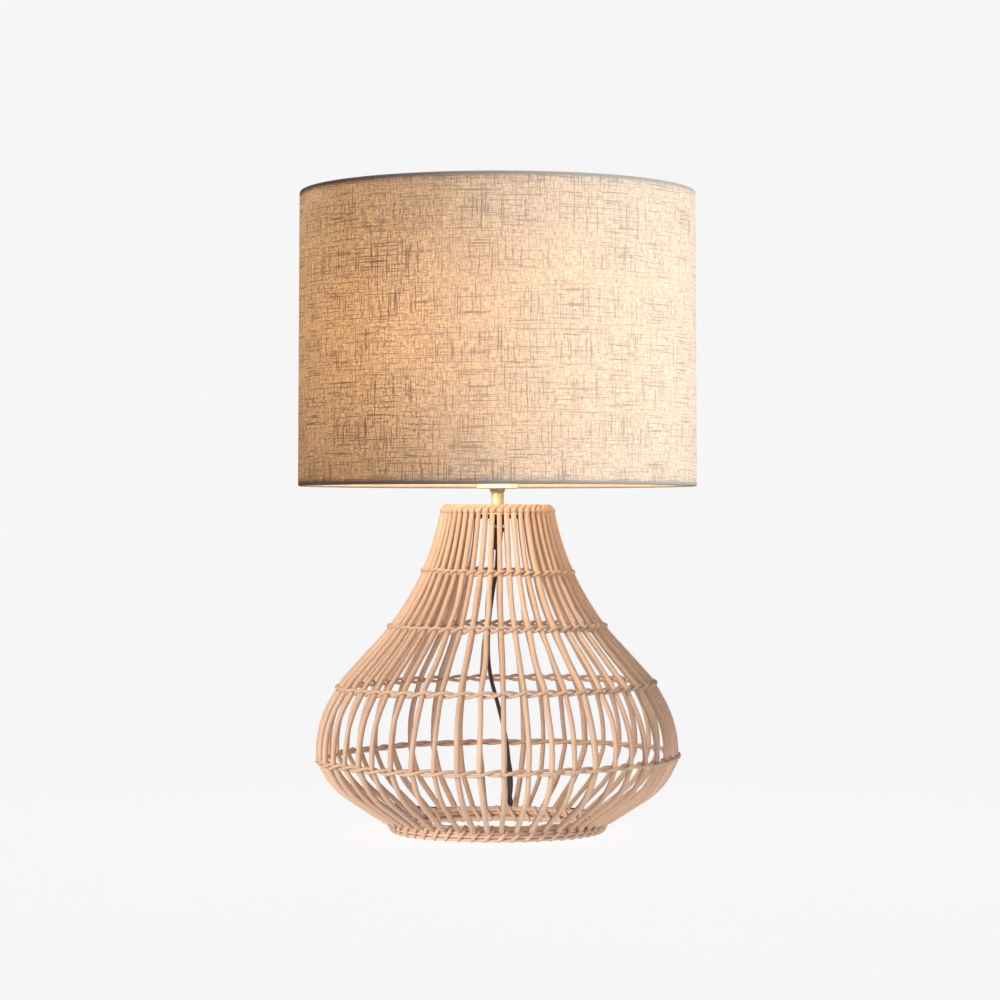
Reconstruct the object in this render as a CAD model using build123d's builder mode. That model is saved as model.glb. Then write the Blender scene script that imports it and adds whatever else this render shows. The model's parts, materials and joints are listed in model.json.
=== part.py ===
"""Table lamp: rattan cage base, linen drum shade, switched screw lampholder and cord.

Millimetres, +Z up. The origin is on the table, under the middle of the foot.
-Y is the front; the cord leaves the cage at the back, over the foot.
"""
from build123d import *
from math import atan, cos, degrees, hypot, pi, radians, sin, tan
import os

# ---------------------------------------------------------------- driving dimensions
# cage
RIB_COUNT = 49
RIBS_PER_NODE = 7
RIB_RADIUS = 2.75
FIRST_RIB_ANGLE = -88.0          # azimuth of the rib nearest the front, from +X
RIB_POINTS = [(48.9, 287.5), (64.6, 216.7), (137.8, 137.1), (160.1, 99.1),
              (160.4, 66.8), (147.3, 41.0), (100.2, 10.7)]
RIB_BENDS = [236, 22, 90, 12, 66]
BAND_HEIGHTS = [234, 184.5, 131.5, 67.5]
TWINE_RADIUS = 1.2
TWINE_CLEARANCE = 0.25

# foot
FOOT_RADIUS = 95.5               # outside of the lower hoop
FOOT_HOOP_WIDTH = 6.0
FOOT_HOOP_HEIGHT = 5.5
FOOT_TOP_HOOP = (93.0, 10.2, 2.6)    # centre radius, height, section radius
LASHING_RADIUS = 1.3
LASHING_AT = 97.5
LASHING_HEIGHTS = (2.4, 12.0)

# neck
BORDER_INNER, BORDER_OUTER = 44.2, 50.4
BORDER_BOTTOM, BORDER_TOP = 288.4, 295.3
PLATE_RADIUS = 42.5
PLATE_BOTTOM = 283.0
PLATE_THICKNESS = 2.0
NECK_HOOP_RADIUS = 2.0

# stem
PIPE_RADIUS, PIPE_BORE = 5.0, 4.0
PIPE_BOTTOM, PIPE_TOP = 274.0, 322.0
SLEEVE_RADIUS = 5.6
COLLAR_BOTTOM, COLLAR_TOP = 305.0, 308.8
RELIEF_LENGTH = 20.0

# lampholder
FLANGE_RADIUS = 19.2
FLANGE_BOTTOM, FLANGE_TOP = 309.0, 313.6
HOLDER_WALL = 1.8
CAP_TOP = 337.0
SHELL_RADIUS = 19.6
SHELL_TOP = 369.0
SEAT_TOP = 340.0                 # shoulder that the shade stands on
SEAT_RADIUS = 23.0
WELL_RADIUS = 14.4
BAR_HEIGHT = 327.5               # push-through switch bar
BAR_RADIUS = 2.5
BAR_TRAVEL = 6.4
BAR_BUTTON = (3.6, 3.0)          # radius, length

# shade
SHADE_BOTTOM, SHADE_TOP = 311.0, 575.0
SHADE_BOTTOM_RADIUS, SHADE_TOP_RADIUS = 179.5, 178.0
FABRIC = 0.8
LINER = 1.0
SKIN_GAP = 0.05
WIRE_RADIUS = 1.4
HEM_RADIUS = 1.9
HUB_INNER, HUB_OUTER, HUB_THICKNESS = 20.3, 27.0, 2.6
ARM_RADIUS = 2.0
RING_INNER, RING_OUTER, RING_HEIGHT = 19.9, 27.5, 8.0

# bulb
BULB_TIP = 349.6
BULB_CAP_RADIUS = 13.2
BULB_CAP_BOTTOM, BULB_CAP_TOP = 354.2, 376.0
BULB_RADIUS = 30.0
BULB_CENTRE = 423.0
THREAD_PITCH = 3.629
GLASS = 0.8

# cord
CORD_RADIUS = 3.0
CORD_ROUTE = [(0, 0, 254), (-0.5, 1, 238), (-5, 3, 212), (-9, 5, 178), (-8, 10, 144),
              (1, 20, 112), (8.5, 34, 80), (11, 52, 52), (11.5, 73, 33), (10.5, 93, 24.5),
              (10.6, 109, 22), (12, 123, 14.8), (14, 138, 8.2), (17, 151, 4.8)]
COIL_CENTRE = (13.0, 162.0)
COIL_LENGTH, COIL_WIDTH, COIL_BUNDLE, COIL_HEIGHT = 160.0, 88.0, 33.0, 4.0
TIE_X = 42.0
TAIL_ROUTE = [(-34, 203.2, 3.0), (-53, 202, 3.0), (-72, 197, 3.5), (-86, 186, 5.5),
              (-90, 168.6, 7.0)]
PLUG_X, PLUG_AXIS = -90.0, 7.0
PLUG_WIDTH, PLUG_THICKNESS, PLUG_LENGTH = 35.0, 13.8, 35.0
PLUG_FACE = 108.0                # Y of the face that the pins stand on
PIN_RADIUS, PIN_LENGTH, PIN_SPACING = 2.0, 19.0, 18.6
BOOT_LENGTH = 25.0

os.makedirs("parts", exist_ok=True)


# ---------------------------------------------------------------- helpers
def write(builder, name):
    builder.part.label = name
    export_step(builder.part, f"parts/{name}.step")


def turned(points):
    """A solid of revolution about +Z from (radius, height) corners."""
    with BuildPart() as body:
        with BuildSketch(Plane.XZ):
            with BuildLine():
                Polyline(*points, close=True)
            make_face()
        revolve(axis=Axis.Z)
    return body


def hoop(*sections):
    """Round hoops about +Z, one for each (radius, height, section radius)."""
    with BuildPart() as body:
        for radius, height, section in sections:
            with BuildSketch(Plane.XZ):
                with Locations((radius, height)):
                    Circle(section)
            revolve(axis=Axis.Z)
    return body


def tube(r_inner, r_outer, bottom, top):
    """A plain round tube about +Z."""
    with BuildPart() as body:
        with BuildSketch(Plane.XY.offset(bottom)):
            Circle(r_outer)
            Circle(r_inner, mode=Mode.SUBTRACT)
        extrude(amount=top - bottom)
    return body


def rod(start, end, radius):
    """A round rod from one point to another."""
    axis = Vector(*end) - Vector(*start)
    with BuildPart() as body:
        with BuildSketch(Plane(origin=start, z_dir=axis)):
            Circle(radius)
        extrude(amount=axis.length)
    return body


def cord_radii(points):
    """The largest arc that the two runs beside each corner of a cord's route allow."""
    radii = []
    for before, here, after in zip(points, points[1:], points[2:]):
        arriving = Vector(*here) - Vector(*before)
        leaving = Vector(*after) - Vector(*here)
        half_turn = radians(arriving.get_angle(leaving)) / 2
        radii.append(0.45 * min(arriving.length, leaving.length) / tan(half_turn))
    return radii


def cord_tube(points, name):
    """A round cord along straight runs joined by tangent arcs."""
    radii = cord_radii(points)
    with BuildPart() as body:
        with BuildLine() as path:
            FilletPolyline(*points, radius=radii)
        wire = path.wire()
        with BuildSketch(Plane(origin=wire @ 0, z_dir=wire % 0)):
            Circle(CORD_RADIUS)
        sweep(path=wire)
    section = pi * CORD_RADIUS**2
    print(name, "arcs", [round(r) for r in radii], "length", round(wire.length, 1),
          "volume / (section x length)", round(body.part.volume / (section * wire.length), 4))
    write(body, name)


# ---------------------------------------------------------------- cage ribs
with BuildLine(Plane.XZ) as rib_line:
    FilletPolyline(*RIB_POINTS, radius=RIB_BENDS)
rib_wire = rib_line.wire()

with BuildPart() as rib:
    with BuildSketch(Plane(origin=rib_wire @ 0, z_dir=rib_wire % 0)):
        Circle(RIB_RADIUS)
    sweep(path=rib_wire)

RIB_STEP = 360 / RIB_COUNT
for group in range(RIB_COUNT // RIBS_PER_NODE):
    first_angle = FIRST_RIB_ANGLE + group * RIBS_PER_NODE * RIB_STEP
    with BuildPart() as ribs:
        with PolarLocations(0, RIBS_PER_NODE, first_angle, RIBS_PER_NODE * RIB_STEP):
            add(rib.part)
    write(ribs, f"ribs_{group + 1:02d}")


def rib_station(height):
    """Radius of the ribs' centreline at a height, and its outward normal there."""
    low, high = 0.0, 1.0
    for _ in range(30):
        middle = (low + high) / 2
        if (rib_wire @ middle).Z > height:
            low = middle
        else:
            high = middle
    along = rib_wire % low
    return (rib_wire @ low).X, (-along.Z, along.X)


# ---------------------------------------------------------------- woven bands
for number, height in enumerate(BAND_HEIGHTS, start=1):
    radius, (out_r, out_z) = rib_station(height)
    stand_off = RIB_RADIUS + TWINE_RADIUS + TWINE_CLEARANCE
    band = hoop(
        (radius + stand_off * out_r, height + stand_off * out_z, TWINE_RADIUS),
        (radius - stand_off * out_r, height - stand_off * out_z, TWINE_RADIUS),
    )
    write(band, f"woven_band_{number}")

# ---------------------------------------------------------------- foot
with BuildPart() as foot_lower_hoop:
    with BuildSketch(Plane.XZ):
        with Locations((FOOT_RADIUS - FOOT_HOOP_WIDTH / 2, FOOT_HOOP_HEIGHT / 2)):
            RectangleRounded(FOOT_HOOP_WIDTH, FOOT_HOOP_HEIGHT, 1.6)
    revolve(axis=Axis.Z)
write(foot_lower_hoop, "foot_lower_hoop")

write(hoop(FOOT_TOP_HOOP), "foot_upper_hoop")

lashing_low, lashing_high = LASHING_HEIGHTS
half_step = radians(RIB_STEP / 2)
lash = rod(
    (LASHING_AT, 0, lashing_low),
    (LASHING_AT * cos(half_step), LASHING_AT * sin(half_step), lashing_high),
    LASHING_RADIUS,
)
with BuildPart() as foot_lashing:
    with PolarLocations(0, RIB_COUNT, FIRST_RIB_ANGLE):
        add(lash.part)
write(foot_lashing, "foot_lashing")

# ---------------------------------------------------------------- neck
with BuildPart() as neck_border:
    with BuildSketch(Plane.XZ):
        with Locations(((BORDER_INNER + BORDER_OUTER) / 2, (BORDER_BOTTOM + BORDER_TOP) / 2)):
            RectangleRounded(BORDER_OUTER - BORDER_INNER, BORDER_TOP - BORDER_BOTTOM, 2.4)
    revolve(axis=Axis.Z)
write(neck_border, "neck_border")

plate_middle = PLATE_BOTTOM + PLATE_THICKNESS / 2
write(hoop((PLATE_RADIUS + NECK_HOOP_RADIUS + 0.1, plate_middle, NECK_HOOP_RADIUS)), "neck_hoop")

with BuildPart() as neck_plate:
    with BuildSketch(Plane.XY.offset(PLATE_BOTTOM)):
        Circle(PLATE_RADIUS)
        Circle(PIPE_RADIUS + 0.15, mode=Mode.SUBTRACT)
        with PolarLocations(PLATE_RADIUS * 0.62, 6, 30):
            Circle(8, mode=Mode.SUBTRACT)
    extrude(amount=PLATE_THICKNESS)
write(neck_plate, "neck_plate")

# ---------------------------------------------------------------- stem
write(tube(PIPE_BORE, PIPE_RADIUS, PIPE_BOTTOM, PIPE_TOP), "stem_pipe")
write(tube(PIPE_RADIUS + 0.1, 9, PLATE_BOTTOM - 1.2, PLATE_BOTTOM - 0.1), "stem_washer")

with BuildPart() as stem_nut:
    with BuildSketch(Plane.XY.offset(PLATE_BOTTOM - 6.4)):
        RegularPolygon(7.5, 6)
        Circle(PIPE_RADIUS + 0.1, mode=Mode.SUBTRACT)
    extrude(amount=5.1)
write(stem_nut, "stem_nut")

write(tube(PIPE_RADIUS + 0.1, SLEEVE_RADIUS, PLATE_BOTTOM + PLATE_THICKNESS + 0.1,
           COLLAR_BOTTOM - 0.1), "stem_sleeve")

write(turned([
    (PIPE_RADIUS + 0.1, COLLAR_BOTTOM), (SLEEVE_RADIUS, COLLAR_BOTTOM),
    (6.7, COLLAR_TOP - 1.6), (6.7, COLLAR_TOP), (PIPE_RADIUS + 0.1, COLLAR_TOP),
]), "stem_collar")

relief_top = PIPE_BOTTOM - 0.1
relief_bottom = relief_top - RELIEF_LENGTH + 0.1
write(turned([
    (CORD_RADIUS + 0.1, relief_bottom), (CORD_RADIUS + 0.7, relief_bottom),
    (PIPE_RADIUS, relief_top - 4), (PIPE_RADIUS + 1.2, relief_top - 3.5),
    (PIPE_RADIUS + 1.2, relief_top), (CORD_RADIUS + 0.1, relief_top),
]), "cord_relief")

write(rod((0, 0, relief_bottom + 0.5), (0, 0, PIPE_TOP), CORD_RADIUS - 0.2), "inner_lead")

# ---------------------------------------------------------------- lampholder
with BuildPart() as holder_flange:
    with BuildSketch(Plane.XY.offset(FLANGE_BOTTOM)):
        Circle(FLANGE_RADIUS)
        Circle(PIPE_RADIUS + 0.1, mode=Mode.SUBTRACT)
    extrude(amount=FLANGE_TOP - FLANGE_BOTTOM)
    fillet(holder_flange.edges().filter_by(GeomType.CIRCLE).group_by(SortBy.RADIUS)[-1], 0.8)
write(holder_flange, "holder_flange")

cap_bottom = FLANGE_TOP + 0.1
with BuildPart() as holder_cap:
    with BuildSketch(Plane.XZ):
        with BuildLine():
            Polyline(
                (PIPE_RADIUS + 0.1, cap_bottom), (15, cap_bottom), (21.2, cap_bottom + 7),
                (21.2, CAP_TOP), (21.2 - HOLDER_WALL, CAP_TOP),
                (21.2 - HOLDER_WALL, cap_bottom + 7.7), (14.2, cap_bottom + HOLDER_WALL),
                (PIPE_RADIUS + 0.1, cap_bottom + HOLDER_WALL), close=True,
            )
        make_face()
    revolve(axis=Axis.Z)
    with BuildSketch(Plane.YZ.offset(-30)):
        with Locations((0, BAR_HEIGHT)):
            Circle(BAR_RADIUS + 0.3)
    extrude(amount=60, mode=Mode.SUBTRACT)
write(holder_cap, "holder_cap")

with BuildPart() as switch_block:
    with BuildSketch(Plane.XY.offset(PIPE_TOP + 0.6)):
        Circle(16.9)
        with Locations((0, 11), (0, -11)):
            Circle(2.2, mode=Mode.SUBTRACT)
    extrude(amount=CAP_TOP - PIPE_TOP - 1.0)
    with BuildSketch(Plane.YZ.offset(-30)):
        with Locations((0, BAR_HEIGHT)):
            Circle(BAR_RADIUS + 0.3)
    extrude(amount=60, mode=Mode.SUBTRACT)
write(switch_block, "switch_block")

write(turned([
    (SHELL_RADIUS - HOLDER_WALL, CAP_TOP + 0.2), (SEAT_RADIUS, CAP_TOP + 0.2),
    (SEAT_RADIUS, SEAT_TOP), (SHELL_RADIUS, SEAT_TOP), (SHELL_RADIUS, SHELL_TOP - 1),
    (SHELL_RADIUS - 0.8, SHELL_TOP), (SHELL_RADIUS - HOLDER_WALL, SHELL_TOP),
]), "holder_shell")

insert_radius = SHELL_RADIUS - HOLDER_WALL - 0.2
with BuildPart() as holder_insert:
    with BuildSketch(Plane.XY.offset(CAP_TOP + 0.4)):
        Circle(insert_radius)
        with Locations((0, 11), (0, -11)):
            Circle(1.6, mode=Mode.SUBTRACT)
    extrude(amount=SHELL_TOP - CAP_TOP - 2.4)
    with BuildSketch(Plane.XY.offset(BULB_TIP - 3.0)):
        Circle(WELL_RADIUS)
    extrude(amount=30, mode=Mode.SUBTRACT)
write(holder_insert, "holder_insert")

write(tube(WELL_RADIUS - 0.7, WELL_RADIUS - 0.2, BULB_TIP - 1.5, SHELL_TOP - 3), "holder_thread")

with BuildPart() as holder_contact:
    with BuildSketch(Plane.XZ):
        with BuildLine():
            Line((-11, BULB_TIP - 2.9), (-4, BULB_TIP - 2.9))
            Line((-4, BULB_TIP - 2.9), (0, BULB_TIP - 0.8))
            Line((0, BULB_TIP - 0.8), (4, BULB_TIP - 0.8))
            Line((4, BULB_TIP - 0.8), (4, BULB_TIP - 0.2))
            Line((4, BULB_TIP - 0.2), (-0.4, BULB_TIP - 0.2))
            Line((-0.4, BULB_TIP - 0.2), (-4.2, BULB_TIP - 2.2))
            Line((-4.2, BULB_TIP - 2.2), (-11, BULB_TIP - 2.2))
            Line((-11, BULB_TIP - 2.2), (-11, BULB_TIP - 2.9))
        make_face()
    extrude(amount=2.5, both=True)
write(holder_contact, "holder_contact")

# Pushed in from +X the bar slides through and switches off.
button_radius, button_length = BAR_BUTTON
bar_left = -21.2 - 0.4
bar_right = 21.2 + 0.4 + BAR_TRAVEL + 0.2
with BuildPart() as push_bar:
    with BuildSketch(Plane.YZ.offset(bar_left)):
        with Locations((0, BAR_HEIGHT)):
            Circle(BAR_RADIUS)
    extrude(amount=bar_right - bar_left)
    for face_x, direction in ((bar_left, -1), (bar_right, 1)):
        with BuildSketch(Plane.YZ.offset(face_x)):
            with Locations((0, BAR_HEIGHT)):
                Circle(button_radius)
        extrude(amount=direction * button_length)
    ends = push_bar.faces().sort_by(Axis.X)
    fillet(ends[0].edges() + ends[-1].edges(), 0.9)
write(push_bar, "push_bar")


# ---------------------------------------------------------------- shade
def shade_radius(height):
    """Outside radius of the fabric at a height."""
    share = (height - SHADE_BOTTOM) / (SHADE_TOP - SHADE_BOTTOM)
    return SHADE_BOTTOM_RADIUS + share * (SHADE_TOP_RADIUS - SHADE_BOTTOM_RADIUS)


def drum(outset, thickness):
    """One layer of the drum's wall, outset from the fabric's outer face."""
    low, high = SHADE_BOTTOM_RADIUS - outset, SHADE_TOP_RADIUS - outset
    return turned([(low - thickness, SHADE_BOTTOM), (low, SHADE_BOTTOM),
                   (high, SHADE_TOP), (high - thickness, SHADE_TOP)])


write(drum(0, FABRIC), "shade_fabric")
write(drum(FABRIC + SKIN_GAP, LINER), "shade_liner")

wall = FABRIC + SKIN_GAP + LINER + 0.1
for end, height in (("bottom", SHADE_BOTTOM + HEM_RADIUS), ("top", SHADE_TOP - HEM_RADIUS)):
    centre = shade_radius(height) - wall - HEM_RADIUS
    write(hoop((centre, height, WIRE_RADIUS)), f"shade_wire_{end}")
    with BuildPart() as hem:
        with BuildSketch(Plane.XZ):
            with Locations((centre, height)):
                Circle(HEM_RADIUS)
                Circle(WIRE_RADIUS + 0.1, mode=Mode.SUBTRACT)
        revolve(axis=Axis.Z)
    write(hem, f"shade_hem_{end}")

hub_bottom = SEAT_TOP + 0.1
write(tube(HUB_INNER, HUB_OUTER, hub_bottom, hub_bottom + HUB_THICKNESS), "shade_hub")

hem_inside = shade_radius(SHADE_BOTTOM + HEM_RADIUS) - wall - 2 * HEM_RADIUS
arm = rod((HUB_OUTER + 0.4, 0, hub_bottom + HUB_THICKNESS / 2),
          (hem_inside - 0.4, 0, SHADE_BOTTOM + HEM_RADIUS + 1.5), ARM_RADIUS)
with BuildPart() as shade_arms:
    with PolarLocations(0, 3, 90):
        add(arm.part)
write(shade_arms, "shade_arms")

ring_bottom = hub_bottom + HUB_THICKNESS + 0.15
with BuildPart() as clamp_ring:
    with BuildSketch(Plane.XY.offset(ring_bottom)):
        Circle(RING_OUTER)
        Circle(RING_INNER, mode=Mode.SUBTRACT)
        with PolarLocations(RING_OUTER + 0.6, 24):
            Circle(1.5, mode=Mode.SUBTRACT)
    extrude(amount=RING_HEIGHT)
write(clamp_ring, "clamp_ring")

# ---------------------------------------------------------------- bulb
write(turned([(0, BULB_TIP), (3.6, BULB_TIP), (4.6, BULB_TIP + 1.5), (0, BULB_TIP + 1.5)]),
      "bulb_contact")
write(turned([(0, BULB_TIP + 1.6), (5, BULB_TIP + 1.6), (11.5, BULB_CAP_BOTTOM - 0.1),
              (0, BULB_CAP_BOTTOM - 0.1)]), "bulb_insulator")

THREAD_TURNS = 4
thread_edge = []
for turn in range(THREAD_TURNS):
    crest = BULB_CAP_BOTTOM + 2.5 + turn * THREAD_PITCH
    thread_edge += [(BULB_CAP_RADIUS - 1.0, crest), (BULB_CAP_RADIUS, crest + THREAD_PITCH / 2)]
with BuildPart() as bulb_cap:
    with BuildSketch(Plane.XZ):
        with BuildLine():
            Polyline(
                (11.0, BULB_CAP_BOTTOM), (12.0, BULB_CAP_BOTTOM + 1), *thread_edge,
                (BULB_CAP_RADIUS - 1.0, BULB_CAP_BOTTOM + 2.5 + THREAD_TURNS * THREAD_PITCH),
                (BULB_CAP_RADIUS, BULB_CAP_TOP), (10.6, BULB_CAP_TOP),
                (10.6, BULB_CAP_BOTTOM), close=True,
            )
        make_face()
    revolve(axis=Axis.Z)
write(bulb_cap, "bulb_cap")


def bulb_outline(inset):
    """Half outline of the bulb, from its neck to its top, inside the open line builder."""
    neck = BULB_CAP_RADIUS - inset
    waist = BULB_CAP_RADIUS + 2.6 - inset
    side = Spline((neck, BULB_CAP_TOP + 0.1), (waist, BULB_CAP_TOP + 10),
                  (BULB_RADIUS - inset, BULB_CENTRE), tangents=[(0.05, 1), (0, 1)])
    top = RadiusArc((BULB_RADIUS - inset, BULB_CENTRE), (0, BULB_CENTRE + BULB_RADIUS - inset),
                    -(BULB_RADIUS - inset))
    return side, top


with BuildPart() as bulb_glass:
    with BuildSketch(Plane.XZ):
        with BuildLine():
            bulb_outline(0)
            bulb_outline(GLASS)
            Line((BULB_CAP_RADIUS, BULB_CAP_TOP + 0.1), (BULB_CAP_RADIUS - GLASS, BULB_CAP_TOP + 0.1))
            Line((0, BULB_CENTRE + BULB_RADIUS), (0, BULB_CENTRE + BULB_RADIUS - GLASS))
        make_face()
    revolve(axis=Axis.Z)
write(bulb_glass, "bulb_glass")

with BuildPart() as bulb_filaments:
    with BuildSketch(Plane.XY.offset(BULB_CAP_TOP + 0.2)):
        Circle(9)
    extrude(amount=2)
    with BuildSketch(Plane.XY.offset(BULB_CAP_TOP + 2.2)):
        Circle(3)
    extrude(amount=22)
    with BuildSketch(Plane.XY.offset(BULB_CAP_TOP + 20)):
        with PolarLocations(5, 4):
            Circle(1)
            with Locations((-2.5, 0)):
                Rectangle(5, 1)
    extrude(amount=2)
    with BuildSketch(Plane.XY.offset(BULB_CAP_TOP + 22)):
        with PolarLocations(5, 4):
            Circle(1)
    extrude(amount=38)
write(bulb_filaments, "bulb_filaments")

# ---------------------------------------------------------------- cord, coil and plug
cord_tube(CORD_ROUTE, "cord_run")
cord_tube(TAIL_ROUTE, "cord_tail")



def coil_band(outset):
    """The flat oval coil's outline, grown by outset on both edges."""
    inside = 2 * (COIL_BUNDLE + outset)
    with Locations(COIL_CENTRE):
        SlotOverall(COIL_LENGTH + 2 * outset, COIL_WIDTH + 2 * outset)
        SlotOverall(COIL_LENGTH - inside, COIL_WIDTH - inside, mode=Mode.SUBTRACT)


with BuildPart() as cord_coil:
    with BuildSketch(Plane.XY):
        coil_band(0)
    extrude(amount=COIL_HEIGHT)
    fillet(cord_coil.faces().filter_by(Axis.Z).edges(), 1.4)
write(cord_coil, "cord_coil")

TIE_WIDTH, TIE_THICKNESS = 10.0, 0.8
bundle_middle = COIL_CENTRE[1] - COIL_WIDTH / 2 + COIL_BUNDLE / 2
with BuildPart() as coil_tie:
    with BuildSketch(Plane.YZ.offset(TIE_X - TIE_WIDTH / 2)):
        with Locations((bundle_middle, COIL_HEIGHT / 2 + TIE_THICKNESS / 2)):
            RectangleRounded(COIL_BUNDLE + 2.4, COIL_HEIGHT + 1.6 * TIE_THICKNESS, 2.4)
    extrude(amount=TIE_WIDTH)
    with BuildSketch(Plane.XY.offset(-1)):
        coil_band(0.3)
    extrude(amount=COIL_HEIGHT + 1.3, mode=Mode.SUBTRACT)
write(coil_tie, "coil_tie")

with BuildPart() as plug_body:
    with BuildSketch(Plane.XZ.offset(-PLUG_FACE)):
        with Locations((PLUG_X, PLUG_AXIS)):
            RectangleRounded(PLUG_WIDTH, PLUG_THICKNESS, 4)
    with BuildSketch(Plane.XZ.offset(-PLUG_FACE - PLUG_LENGTH)):
        with Locations((PLUG_X, PLUG_AXIS)):
            RectangleRounded(PLUG_WIDTH * 0.45, PLUG_THICKNESS * 0.9, 4)
    loft()
write(plug_body, "plug_body")

with BuildPart() as plug_pins:
    with BuildSketch(Plane.XZ.offset(-PLUG_FACE + 0.1)):
        with Locations((PLUG_X - PIN_SPACING / 2, PLUG_AXIS), (PLUG_X + PIN_SPACING / 2, PLUG_AXIS)):
            Circle(PIN_RADIUS)
    extrude(amount=PIN_LENGTH)
    fillet(plug_pins.faces().group_by(Axis.Y)[0].edges(), 1.2)
write(plug_pins, "plug_pins")

boot_start = PLUG_FACE + PLUG_LENGTH + 0.1
with BuildPart() as plug_boot:
    with BuildSketch(Plane.XZ.offset(-boot_start)):
        with Locations((PLUG_X, PLUG_AXIS)):
            Circle(5.5)
    with BuildSketch(Plane.XZ.offset(-boot_start - BOOT_LENGTH + 0.2)):
        with Locations((PLUG_X, PLUG_AXIS)):
            Circle(CORD_RADIUS + 0.6)
    loft()
write(plug_boot, "plug_boot")
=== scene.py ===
"""Looks of the rattan table lamp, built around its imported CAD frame.

Metres, +Z up, -Y is the front. The cage is canes and twisted strands in mesh code, the shade is a
cloth sheet over a film, and every CAD node that still shows gets a procedural material.
"""

import json
import random
from math import acos, ceil, cos, exp, hypot, pi, radians, sin, tan, tau

import bpy
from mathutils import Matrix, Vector, noise


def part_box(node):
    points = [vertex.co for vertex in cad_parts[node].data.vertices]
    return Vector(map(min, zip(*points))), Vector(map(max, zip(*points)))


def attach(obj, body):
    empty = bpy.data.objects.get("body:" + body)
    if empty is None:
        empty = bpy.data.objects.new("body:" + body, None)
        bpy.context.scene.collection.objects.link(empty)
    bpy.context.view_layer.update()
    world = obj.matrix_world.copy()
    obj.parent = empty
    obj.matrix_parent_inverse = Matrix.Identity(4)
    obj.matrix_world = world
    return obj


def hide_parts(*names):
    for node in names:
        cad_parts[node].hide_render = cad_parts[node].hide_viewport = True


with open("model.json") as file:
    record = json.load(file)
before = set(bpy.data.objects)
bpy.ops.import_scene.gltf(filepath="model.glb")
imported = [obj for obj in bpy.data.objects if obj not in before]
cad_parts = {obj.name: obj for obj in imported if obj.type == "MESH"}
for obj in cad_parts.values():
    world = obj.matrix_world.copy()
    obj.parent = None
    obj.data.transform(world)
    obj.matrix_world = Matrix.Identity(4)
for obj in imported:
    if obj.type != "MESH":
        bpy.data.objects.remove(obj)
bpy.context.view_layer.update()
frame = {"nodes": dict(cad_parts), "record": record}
nodes = frame["nodes"]
MM = 0.001


# ================================================================ camera
CAMERA_DISTANCE = 2.705
CAMERA_HEIGHT = 0.2808
CAMERA_LENS, SENSOR_WIDTH = 108.2, 36    # mm
HORIZON_SHIFT = 0.020
CENTRE_SHIFT = 0.0025

camera_data = bpy.data.cameras.new("camera")
camera_data.lens = CAMERA_LENS
camera_data.sensor_width = SENSOR_WIDTH
camera_data.shift_x = CENTRE_SHIFT
camera_data.shift_y = HORIZON_SHIFT
camera_data.clip_end = 200
camera = bpy.data.objects.new("camera", camera_data)
camera.location = (0, -CAMERA_DISTANCE, CAMERA_HEIGHT)
camera.rotation_euler = (pi / 2, 0, 0)
bpy.context.scene.collection.objects.link(camera)
bpy.context.scene.camera = camera


# ================================================================ mesh helpers
def smoothstep(low, high, value):
    """0 up to low and 1 from high, with a smooth rise between; low may be the greater."""
    share = min(1, max(0, (value - low) / (high - low)))
    return share * share * (3 - 2 * share)


def mesh_piece(name, verts, faces, material, grain=None):
    """A smooth-shaded mesh object. grain is (along, around, tint) for each vertex."""
    mesh = bpy.data.meshes.new(name)
    mesh.from_pydata([tuple(v) for v in verts], [], faces)
    mesh.validate()
    for polygon in mesh.polygons:
        polygon.use_smooth = True
    if grain is not None:
        layer = mesh.attributes.new("grain", "FLOAT_VECTOR", "POINT")
        layer.data.foreach_set("vector", [x for g in grain for x in g])
    mesh.materials.append(material)
    piece = bpy.data.objects.new(name, mesh)
    bpy.context.scene.collection.objects.link(piece)
    return piece


def tangents(points, closed):
    """The line's direction at each of its points."""
    count = len(points)
    found = []
    for i in range(count):
        if closed:
            step = points[(i + 1) % count] - points[i - 1]
        else:
            step = points[min(i + 1, count - 1)] - points[max(i - 1, 0)]
        found.append(step.normalized())
    return found


def carried_frames(points, closed):
    """(tangent, side, up) at each point, turning as little as possible along the line."""
    along = tangents(points, closed)
    side = along[0].orthogonal().normalized()
    frames = []
    for direction in along:
        side = (side - direction * side.dot(direction)).normalized()
        frames.append((direction, side, direction.cross(side)))
    if closed:
        direction, side, up = frames[0]
        last = (frames[-1][1] - direction * frames[-1][1].dot(direction)).normalized()
        twist = acos(max(-1, min(1, last.dot(side)))) * (-1 if last.dot(up) > 0 else 1)
        for i, (direction, side, up) in enumerate(frames):
            angle = twist * i / len(frames)
            frames[i] = (direction, side * cos(angle) + up * sin(angle),
                         up * cos(angle) - side * sin(angle))
    return frames


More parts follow.
